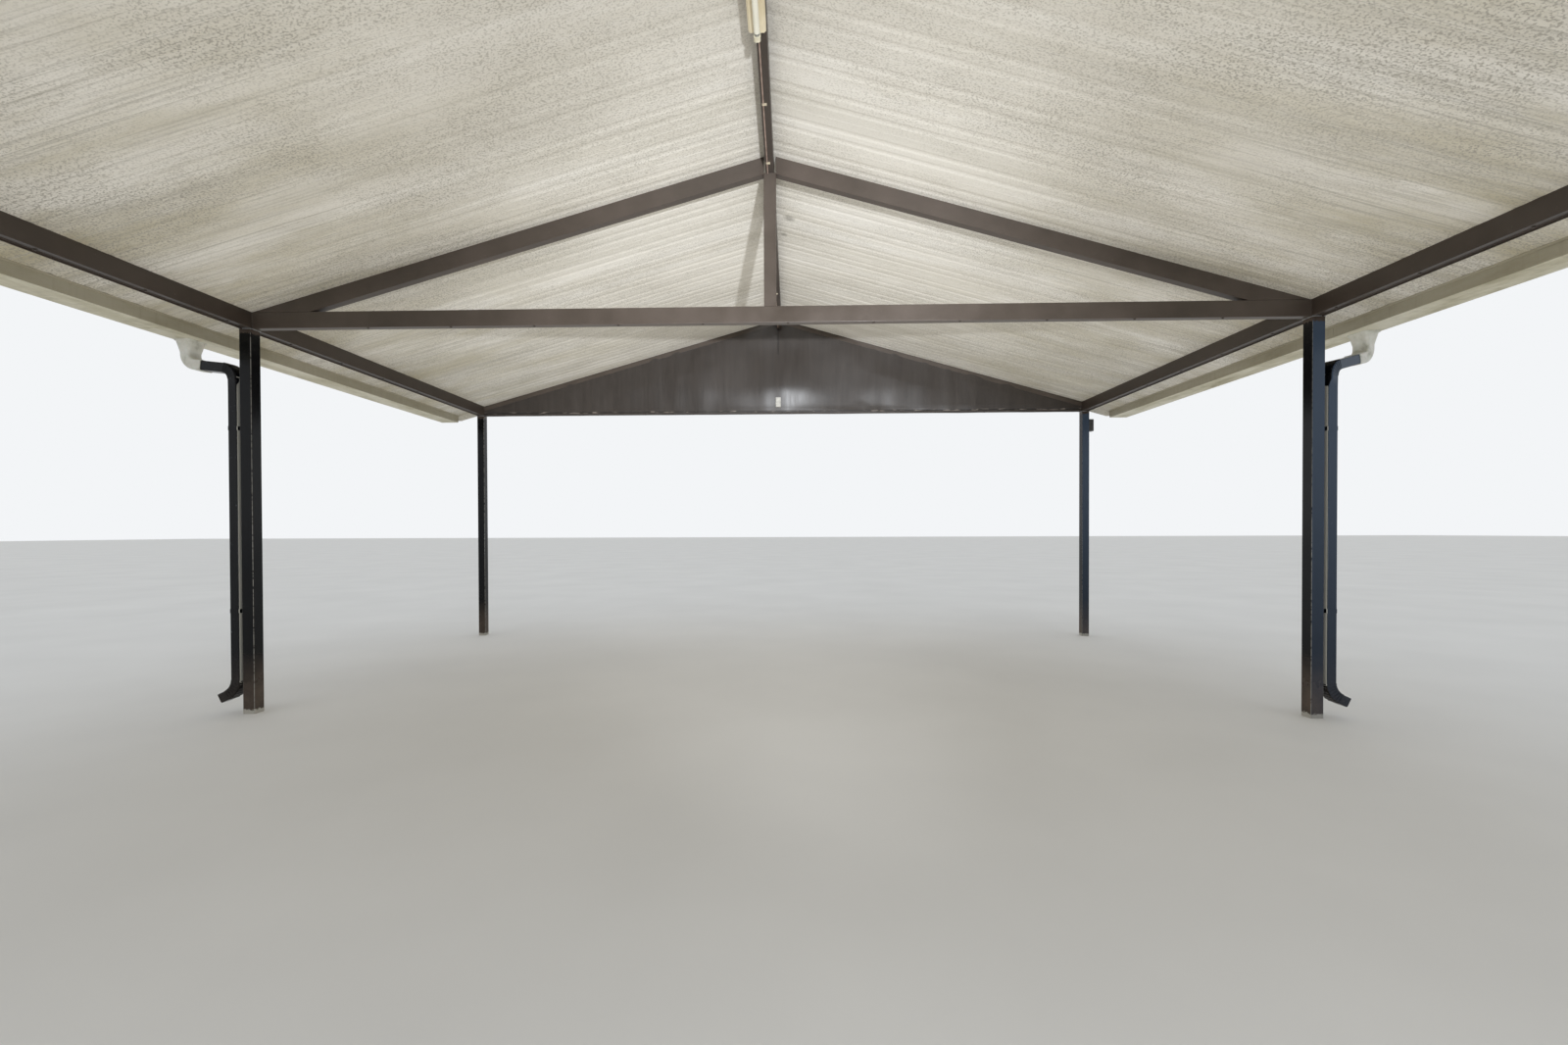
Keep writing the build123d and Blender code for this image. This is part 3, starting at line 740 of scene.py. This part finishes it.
for row_name, facing in (("front", -1), ("rear", 1)):
    low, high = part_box(row_name + "_gable_sheet")
    inner_face = low.y if facing > 0 else high.y
    hem_edge = high.y if facing > 0 else low.y
    half_span = high.x
    peak_z = high.z - peak_short
    bpy.ops.object.select_all(action="DESELECT")
    bpy.ops.mesh.primitive_grid_add(
        x_subdivisions=gable_columns, y_subdivisions=gable_rows, size=2.0, location=(0, 0, 0)
    )
    gable = bpy.context.object
    gable.name = row_name + "_gable_sheet_buckled"
    bpy.ops.object.mode_set(mode="EDIT")
    bpy.ops.mesh.select_all(action="SELECT")
    bpy.ops.mesh.flip_normals()
    bpy.ops.object.mode_set(mode="OBJECT")
    for vertex in gable.data.vertices:
        across, up = vertex.co.x, (vertex.co.y + 1) / 2
        x = across * half_span
        top_z = peak_z - roof_slope * abs(x)
        z = low.z + up * (top_z - low.z)
        above_hem = z - low.z - hem_height
        free = min(1.0, (top_z - z) / free_top) * min(1.0, max(0.0, above_hem) / free_bottom)
        buckle = noise.noise((x * 1.1, z * 2.2, 3.7 * facing)) * wide_buckle
        buckle += noise.noise((x * 4.3, z * 5.1, 8.1)) * fine_buckle
        dents = sum(out * exp(-(((x - spot) / wide) ** 2)) for spot, wide, out in gable_dents)
        dents *= min(1.0, (top_z - z) / dent_fade)
        crease = crease_deep * exp(-((above_hem / crease_half) ** 2))
        ripple = ripple_deep * sin(x * ripple_turns + 3.0 * noise.noise((x * 1.7, 0.0, 0.0)))
        depth = max(0.0, sheet_proud + buckle * free + dents * belly(z - low.z) + ripple - crease)
        z += (1 - up) ** 8 * edge_waver * noise.noise((x * 2.3, 4.0, 0.0))
        vertex.co = (x, inner_face - facing * (depth - sheet_proud), z)
    bpy.ops.object.mode_set(mode="EDIT")
    bpy.ops.mesh.select_mode(type="EDGE")
    bpy.ops.mesh.select_all(action="DESELECT")
    bpy.ops.object.mode_set(mode="OBJECT")
    for edge in gable.data.edges:
        ends = [gable.data.vertices[i].co.z for i in edge.vertices]
        edge.select = max(ends) < low.z + 0.0001
    bpy.ops.object.mode_set(mode="EDIT")
    bpy.ops.mesh.extrude_region_move(TRANSFORM_OT_translate={"value": (0, hem_edge - inner_face, 0.0)})
    bpy.ops.object.mode_set(mode="OBJECT")
    solid = gable.modifiers.new("sheet", "SOLIDIFY")
    solid.thickness = gable_thickness
    solid.offset = -1.0
    bpy.context.view_layer.objects.active = gable
    bpy.ops.object.modifier_apply(modifier="sheet")
    bpy.ops.object.shade_smooth_by_angle(angle=radians(30))
    gable.data.materials.append(gable_gloss)
    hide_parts(row_name + "_gable_sheet")
    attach(gable, "root")

# Gable edge strips: a flat steel strip fixed over each sloping edge of the
# gable sheets and painted with the trusses.
strip_wide, strip_thick, strip_bevel = 0.04, 0.0032, 0.0006
strip_short, strip_drop, strip_proud = 0.06, 0.0015, 0.002
slope_angle = atan(roof_slope)
for row_name, facing in (("front", -1), ("rear", 1)):
    low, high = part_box(row_name + "_gable_sheet")
    inner_face = low.y if facing > 0 else high.y
    reach = (high.z - low.z - strip_short) / roof_slope
    strips = []
    for side in (-1, 1):
        middle_z = high.z - roof_slope * reach / 2 - (strip_wide / 2 + strip_drop) / cos(slope_angle)
        bpy.ops.object.select_all(action="DESELECT")
        bpy.ops.mesh.primitive_cube_add(
            size=1.0,
            location=(side * reach / 2, inner_face - facing * strip_proud, middle_z),
            rotation=(0, side * slope_angle, 0),
            scale=(reach / cos(slope_angle), strip_thick, strip_wide),
        )
        bpy.ops.object.transform_apply(location=True, rotation=True, scale=True)
        strips.append(bpy.context.object)
    for strip in strips:
        strip.select_set(True)
    bpy.context.view_layer.objects.active = strips[0]
    bpy.ops.object.join()
    strip = bpy.context.object
    strip.name = row_name + "_gable_edge_strips"
    edge_round = strip.modifiers.new("filed_edge", "BEVEL")
    edge_round.width = strip_bevel
    edge_round.segments = 2
    bpy.ops.object.modifier_apply(modifier="filed_edge")
    strip.data.materials.append(satin_browns_with_beam_shade["truss"])
    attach(strip, "root")

# Beam lips: a thin pressed angle along the outer lower edge of each eave
# beam between the posts, in the beams' darker brown. It stands in for the line
# of shade between beam and pans, painted shade that shows as a dark line
# against the pale pans.
lip_depth, lip_leg, lip_sheet, lip_bevel = 0.010, 0.016, 0.0016, 0.0004
lip_spans = ((-2.968, -0.042), (0.042, 2.968))
for side_name, side in (("left", -1), ("right", 1)):
    low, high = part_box(side_name + "_eave_beam")
    outer_x = high.x if side > 0 else low.x
    lip_parts = []
    for start_y, end_y in lip_spans:
        for wide, tall, mid_x, mid_z in (
            (lip_sheet, lip_depth, outer_x - side * lip_sheet / 2, low.z - lip_depth / 2),
            (lip_leg, lip_sheet, outer_x - side * lip_leg / 2, low.z - lip_sheet / 2),
        ):
            bpy.ops.mesh.primitive_cube_add(
                size=1.0,
                location=(mid_x, (start_y + end_y) / 2, mid_z),
                scale=(wide, end_y - start_y, tall),
            )
            bpy.ops.object.transform_apply(location=True, rotation=True, scale=True)
            lip_parts.append(bpy.context.object)
    bpy.ops.object.select_all(action="DESELECT")
    for part in lip_parts:
        part.select_set(True)
    bpy.context.view_layer.objects.active = lip_parts[0]
    bpy.ops.object.join()
    lip = bpy.context.object
    lip.name = side_name + "_eave_beam_shade_lip"
    edge_round = lip.modifiers.new("rolled_edge", "BEVEL")
    edge_round.width = lip_bevel
    edge_round.segments = 2
    bpy.ops.object.modifier_apply(modifier="rolled_edge")
    lip.data.materials.append(satin_browns_with_beam_shade["beam"])
    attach(lip, "root")

# Gutters: folded cream aluminium hung under the pan ends, streaked brown and
# green where water and dirt have run over the lip and along the inner face.
gutter_enamel, tree = start_material("stained_cream_enamel_on_folded_aluminium")
gutter_coords = add_node(tree, "TexCoord").outputs["Object"]
gutter_run_place = add_node(tree, "Mapping", {"Scale": (3.0, 0.9, 3.0)}, {0: gutter_coords})
gutter_runs = add_node(
    tree, "TexNoise", {"Scale": 2.2, "Detail": 7.0, "Roughness": 0.68}, {"Vector": gutter_run_place}
)
gutter_drip_place = add_node(tree, "Mapping", {"Scale": (8.0, 34.0, 2.0)}, {0: gutter_coords})
gutter_drips = add_node(
    tree, "TexNoise", {"Scale": 1.0, "Detail": 5.0, "Roughness": 0.6}, {"Vector": gutter_drip_place}
)
gutter_tone = add_node(
    tree, "ValToRGB", {"stops": [(0.3, "#9F987B"), (0.42, "#C0BAA1"), (0.58, "#D8D3BF")]}, {0: gutter_runs}
)
gutter_drip_share = add_node(
    tree, "MapRange", {"From Min": 0.52, "From Max": 0.74, "To Max": 0.35}, {"Value": gutter_drips}
)
gutter_colour = add_node(
    tree, "Mix", {"data_type": "RGBA", 7: linear("#79745A")}, {0: gutter_drip_share, 6: gutter_tone}
)
gutter_rough = add_node(
    tree,
    "MapRange",
    {"From Min": 0.3, "From Max": 0.7, "To Min": 0.6, "To Max": 0.38},
    {"Value": gutter_runs},
)
# The inner face, above the floor's fold, is darkened all over as painted shade.
gutter_face_x, gutter_floor_z, floor_soft = 3.6112, 2.3795, 0.003
gutter_split = add_node(tree, "SeparateXYZ", {}, {"Vector": gutter_coords})
gutter_away = add_node(tree, "Math", {"operation": "ABSOLUTE"}, {0: gutter_split.outputs["X"]})
gutter_on_face = add_node(tree, "Math", {"operation": "LESS_THAN", 1: gutter_face_x}, {0: gutter_away})
gutter_above = add_node(
    tree,
    "MapRange",
    {"From Min": gutter_floor_z - floor_soft, "From Max": gutter_floor_z, "To Max": 0.75},
    {"Value": gutter_split.outputs["Z"]},
)
gutter_face_shade = add_node(tree, "Math", {"operation": "MULTIPLY"}, {0: gutter_on_face, 1: gutter_above})
gutter_finish = add_node(
    tree,
    "Mix",
    {"data_type": "RGBA", 7: linear("#8E8775")},
    {0: gutter_face_shade, 6: gutter_colour.outputs[2]},
)
gutter_shader = add_node(
    tree,
    "BsdfPrincipled",
    {"IOR": 1.5},
    {"Base Color": gutter_finish.outputs[2], "Roughness": gutter_rough},
)
add_node(tree, "OutputMaterial", {}, {"Surface": gutter_shader})
paint(("left_gutter", "right_gutter", "gutter_end_caps"), gutter_enamel)

# Gutter sleeves: thin folded straps, sealed over the joints between gutter
# lengths on the inner face and under the floor, stained as the gutters are.
sleeve_sheet, sleeve_bevel, sleeve_inner_x = 0.0022, 0.0006, 3.6068
face_leg, floor_leg = 0.064, 0.17
sleeve_plan = {"left": ((-0.2, 0.09), (0.42, 0.16)), "right": ((-1.0, 0.2), (0.27, 0.12), (-2.4, 0.09))}
for side_name, side in (("left", -1), ("right", 1)):
    floor_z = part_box(side_name + "_gutter")[0].z
    for number, (middle_y, width) in enumerate(sleeve_plan[side_name]):
        bpy.ops.object.select_all(action="DESELECT")
        bpy.ops.mesh.primitive_plane_add(
            size=1.0,
            location=(side * (sleeve_inner_x - sleeve_sheet / 2), middle_y, floor_z + face_leg / 2),
        )
        sleeve = bpy.context.object
        sleeve.name = side_name + "_gutter_sleeve_" + str(number)
        sleeve.rotation_euler = (0, pi / 2, 0)
        sleeve.scale = (face_leg, width, 1)
        bpy.ops.object.transform_apply(location=True, rotation=True, scale=True)
        bpy.ops.object.mode_set(mode="EDIT")
        bpy.ops.mesh.select_mode(type="EDGE")
        bpy.ops.mesh.select_all(action="DESELECT")
        bpy.ops.object.mode_set(mode="OBJECT")
        for edge in sleeve.data.edges:
            edge.select = max(sleeve.data.vertices[i].co.z for i in edge.vertices) < floor_z + 0.001
        bpy.ops.object.mode_set(mode="EDIT")
        bpy.ops.transform.translate(value=(0, 0, -sleeve_sheet / 2))
        bpy.ops.mesh.extrude_region_move(TRANSFORM_OT_translate={"value": (side * floor_leg, 0, 0)})
        bpy.ops.object.mode_set(mode="OBJECT")
        wall = sleeve.modifiers.new("sheet", "SOLIDIFY")
        wall.thickness = sleeve_sheet
        wall.offset = 0.0
        bpy.ops.object.modifier_apply(modifier="sheet")
        fold = sleeve.modifiers.new("fold", "BEVEL")
        fold.width = sleeve_bevel
        fold.segments = 2
        bpy.ops.object.modifier_apply(modifier="fold")
        bpy.ops.object.mode_set(mode="EDIT")
        bpy.ops.mesh.select_all(action="SELECT")
        bpy.ops.mesh.normals_make_consistent(inside=False)
        bpy.ops.object.mode_set(mode="OBJECT")
        sleeve.data.materials.append(gutter_enamel)
        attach(sleeve, "root")

# Outlets: moulded white PVC funnels pushed up through the gutter floor, dull
# and slightly waxy, with grime that leaves them cream in places.
outlet_plastic, tree = start_material("moulded_white_pvc_dulled_by_grime")
outlet_coords = add_node(tree, "TexCoord").outputs["Object"]
outlet_grime = add_node(
    tree, "TexNoise", {"Scale": 14.0, "Detail": 6.0, "Roughness": 0.65}, {"Vector": outlet_coords}
)
outlet_tone = add_node(
    tree, "ValToRGB", {"stops": [(0.3, "#A5A496"), (0.48, "#CFCEC4"), (0.7, "#E0DFD8")]}, {0: outlet_grime}
)
outlet_shader = add_node(
    tree,
    "BsdfPrincipled",
    {"IOR": 1.53, "Roughness": 0.42, "Subsurface Weight": 0.05, "Subsurface Scale": 0.004},
    {"Base Color": outlet_tone},
)
add_node(tree, "OutputMaterial", {}, {"Surface": outlet_shader})
paint(("left_outlet_elbow", "right_outlet_elbow"), outlet_plastic)

# Rain water pipes: pleated elbows and straight pipes of thin aluminium, strapped
# to the post and brushed gloss black with it, with pale specks and dust below.
pipe_black, tree = start_material("brushed_gloss_black_enamel_on_aluminium_pipe")
pipe_coords = add_node(tree, "TexCoord")
pipe_split = add_node(tree, "SeparateXYZ", {}, {"Vector": pipe_coords.outputs["Object"]})
pipe_specks = add_node(
    tree,
    "TexNoise",
    {"Scale": 70.0, "Detail": 4.0, "Roughness": 0.6},
    {"Vector": pipe_coords.outputs["Object"]},
)
pipe_dust_fall = add_node(
    tree,
    "MapRange",
    {"From Min": dust_top, "From Max": dust_bottom, "To Max": 0.5},
    {"Value": pipe_split.outputs["Z"]},
)
pipe_dust = add_node(tree, "Math", {"operation": "MULTIPLY"}, {0: pipe_specks, 1: pipe_dust_fall})
pipe_base = add_node(
    tree,
    "ValToRGB",
    {"stops": [(0.35, "#07080B"), (0.68, "#101216"), (0.76, "#6F747A")]},
    {0: pipe_specks},
)
pipe_colour = add_node(
    tree, "Mix", {"data_type": "RGBA", 7: linear("#5A5048")}, {0: pipe_dust, 6: pipe_base}
)
# The side towards the post couldn't be reached with the brush and is still pale.
pipe_inner_x, pipe_reach = 3.3688, 0.0013
pipe_away = add_node(tree, "Math", {"operation": "ABSOLUTE"}, {0: pipe_split.outputs["X"]})
pipe_bare = add_node(
    tree, "Math", {"operation": "COMPARE", 1: pipe_inner_x, 2: pipe_reach}, {0: pipe_away}
)
pipe_finish = add_node(
    tree, "Mix", {"data_type": "RGBA", 7: linear("#B9B8B0")}, {0: pipe_bare, 6: pipe_colour.outputs[2]}
)
# The front faces on the right get the same painted blue reflection of the sky as the posts.
pipe_shader = add_node(
    tree,
    "BsdfPrincipled",
    {"IOR": 1.45, "Roughness": 0.22, "Specular IOR Level": 0.25},
    {"Base Color": painted_sky_reflection(tree, pipe_coords, pipe_finish.outputs[2])},
)
add_node(tree, "OutputMaterial", {}, {"Surface": pipe_shader})
pipe_ends = ("_upper_elbow", "_downpipe", "_foot_elbow", "_straps")
paint([name for name in nodes if name.endswith(pipe_ends)], pipe_black)

# Lamp: a folded steel batten stoved in smooth warm cream enamel, its greyer
# moulded plastic holders, and one fluorescent tube whose white coating lies
# under clear shiny glass. It is screwed up under the ridge beam.
lamp_plan = (
    ("lamp_batten", "stoved_cream_enamel_on_folded_steel", 7.0, 5.0, 0.6, 0.3, "#CFC09E", 0.7, "#E6DBC0"),
    ("lamp_holders", "moulded_cream_urea_plastic", 40.0, 3.0, 0.5, 0.35, "#C9C2A8", 0.65, "#DDD7C2"),
    ("lamp_tube", "phosphor_coated_lamp_glass", 5.0, 2.0, 0.5, 0.3, "#E2DFD0", 0.7, "#F0EEE2"),
)
lamp_shine = {
    "lamp_batten": {"IOR": 1.5, "Roughness": 0.35},
    "lamp_holders": {"IOR": 1.55, "Roughness": 0.3},
    "lamp_tube": {"IOR": 1.52, "Roughness": 0.12, "Coat Weight": 0.4, "Coat Roughness": 0.05},
}
for node_name, finish_name, scale, detail, rough, dark_at, dark, light_at, light in lamp_plan:
    lamp_finish, tree = start_material(finish_name)
    lamp_coords = add_node(tree, "TexCoord").outputs["Object"]
    lamp_clouds = add_node(
        tree, "TexNoise", {"Scale": scale, "Detail": detail, "Roughness": rough}, {"Vector": lamp_coords}
    )
    lamp_tone = add_node(
        tree, "ValToRGB", {"stops": [(dark_at, dark), (light_at, light)]}, {0: lamp_clouds}
    )
    lamp_shader = add_node(tree, "BsdfPrincipled", lamp_shine[node_name], {"Base Color": lamp_tone})
    add_node(tree, "OutputMaterial", {}, {"Surface": lamp_shader})
    paint([node_name], lamp_finish)

# Tube caps: bare aluminium caps, crimped over the tube's ends where it enters
# its holders. They are plain soft-bright metal with a fine uneven grey.
cap_metal, tree = start_material("crimped_bare_aluminium_tube_caps")
cap_coords = add_node(tree, "TexCoord").outputs["Object"]
cap_noise = add_node(tree, "TexNoise", {"Scale": 120.0, "Detail": 2.0}, {"Vector": cap_coords})
cap_tone = add_node(tree, "ValToRGB", {"stops": [(0.3, "#9C9C9A"), (0.7, "#C4C4C2")]}, {0: cap_noise})
cap_shader = add_node(
    tree, "BsdfPrincipled", {"Metallic": 1.0, "Roughness": 0.35}, {"Base Color": cap_tone}
)
add_node(tree, "OutputMaterial", {}, {"Surface": cap_shader})
tube_low, tube_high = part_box("lamp_tube")
tube_middle = (tube_low + tube_high) / 2
cap_length, cap_bevel, cap_wall = 0.014, 0.0015, 0.0006
cap_radius = (tube_high.x - tube_low.x) / 2 + cap_wall
for end_name, end_y in (("front", tube_low.y + cap_length / 2), ("rear", tube_high.y - cap_length / 2)):
    bpy.ops.object.select_all(action="DESELECT")
    bpy.ops.mesh.primitive_cylinder_add(
        vertices=32,
        radius=cap_radius,
        depth=cap_length,
        location=(tube_middle.x, end_y, tube_middle.z),
        rotation=(pi / 2, 0, 0),
    )
    tube_cap = bpy.context.object
    tube_cap.name = "tube_cap_" + end_name
    bpy.ops.object.mode_set(mode="EDIT")
    bpy.ops.mesh.select_all(action="SELECT")
    bpy.ops.mesh.bevel(offset=cap_bevel, segments=2)
    bpy.ops.object.mode_set(mode="OBJECT")
    bpy.ops.object.transform_apply(location=True, rotation=True, scale=True)
    bpy.ops.object.shade_smooth_by_angle(angle=radians(35))
    tube_cap.data.materials.append(cap_metal)
    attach(tube_cap, "root")

# Lamp cable: two cores in a dull PVC sheath, pinkish with age, clipped beside
# the ridge beam and a little slack between the clips. Down the rear gable sheet
# it is painted over in dark brown. The clips are moulded nylon, softly shiny.
cable_sheath, tree = start_material("aged_pinkish_pvc_sheath")
sheath_coords = add_node(tree, "TexCoord").outputs["Object"]
sheath_noise = add_node(tree, "TexNoise", {"Scale": 25.0, "Detail": 4.0}, {"Vector": sheath_coords})
sheath_tone = add_node(
    tree, "ValToRGB", {"stops": [(0.3, "#8C766B"), (0.7, "#B29C90")]}, {0: sheath_noise}
)
painted_start, painted_full = 2.9, 2.93
sheath_split = add_node(tree, "SeparateXYZ", {}, {"Vector": sheath_coords})
sheath_painted = add_node(
    tree,
    "MapRange",
    {"From Min": painted_start, "From Max": painted_full},
    {"Value": sheath_split.outputs["Y"]},
)
sheath_colour = add_node(
    tree, "Mix", {"data_type": "RGBA", 7: linear("#0F0D0C")}, {0: sheath_painted, 6: sheath_tone}
)
sheath_shader = add_node(
    tree, "BsdfPrincipled", {"IOR": 1.52, "Roughness": 0.5}, {"Base Color": sheath_colour.outputs[2]}
)
add_node(tree, "OutputMaterial", {}, {"Surface": sheath_shader})
clip_plastic, tree = start_material("moulded_beige_nylon_clips")
clip_coords = add_node(tree, "TexCoord").outputs["Object"]
clip_noise = add_node(tree, "TexNoise", {"Scale": 90.0, "Detail": 2.0}, {"Vector": clip_coords})
clip_tone = add_node(tree, "ValToRGB", {"stops": [(0.3, "#A79C84"), (0.7, "#C7BCA4")]}, {0: clip_noise})
clip_shader = add_node(tree, "BsdfPrincipled", {"IOR": 1.53, "Roughness": 0.45}, {"Base Color": clip_tone})
add_node(tree, "OutputMaterial", {}, {"Surface": clip_shader})
paint(["lamp_cable"], cable_sheath)
paint(["cable_clips"], clip_plastic)

# Switch box and relay box: moulded ABS boxes with lids, matt and faintly
# mottled, a pale one on the rear gable sheet and a dark one on the right rear post.
for node_name, material_name, dark, light in (
    ("switch_box", "moulded_pale_grey_abs", "#A6A49E", "#C9C7C1"),
    ("relay_box", "moulded_dark_grey_abs", "#2A2A2B", "#3B3B3C"),
):
    box_plastic, tree = start_material(material_name)
    box_coords = add_node(tree, "TexCoord").outputs["Object"]
    box_noise = add_node(tree, "TexNoise", {"Scale": 30.0, "Detail": 5.0}, {"Vector": box_coords})
    box_tone = add_node(tree, "ValToRGB", {"stops": [(0.3, dark), (0.7, light)]}, {0: box_noise})
    box_shader = add_node(
        tree, "BsdfPrincipled", {"IOR": 1.54, "Roughness": 0.4}, {"Base Color": box_tone}
    )
    add_node(tree, "OutputMaterial", {}, {"Surface": box_shader})
    paint([node_name], box_plastic)
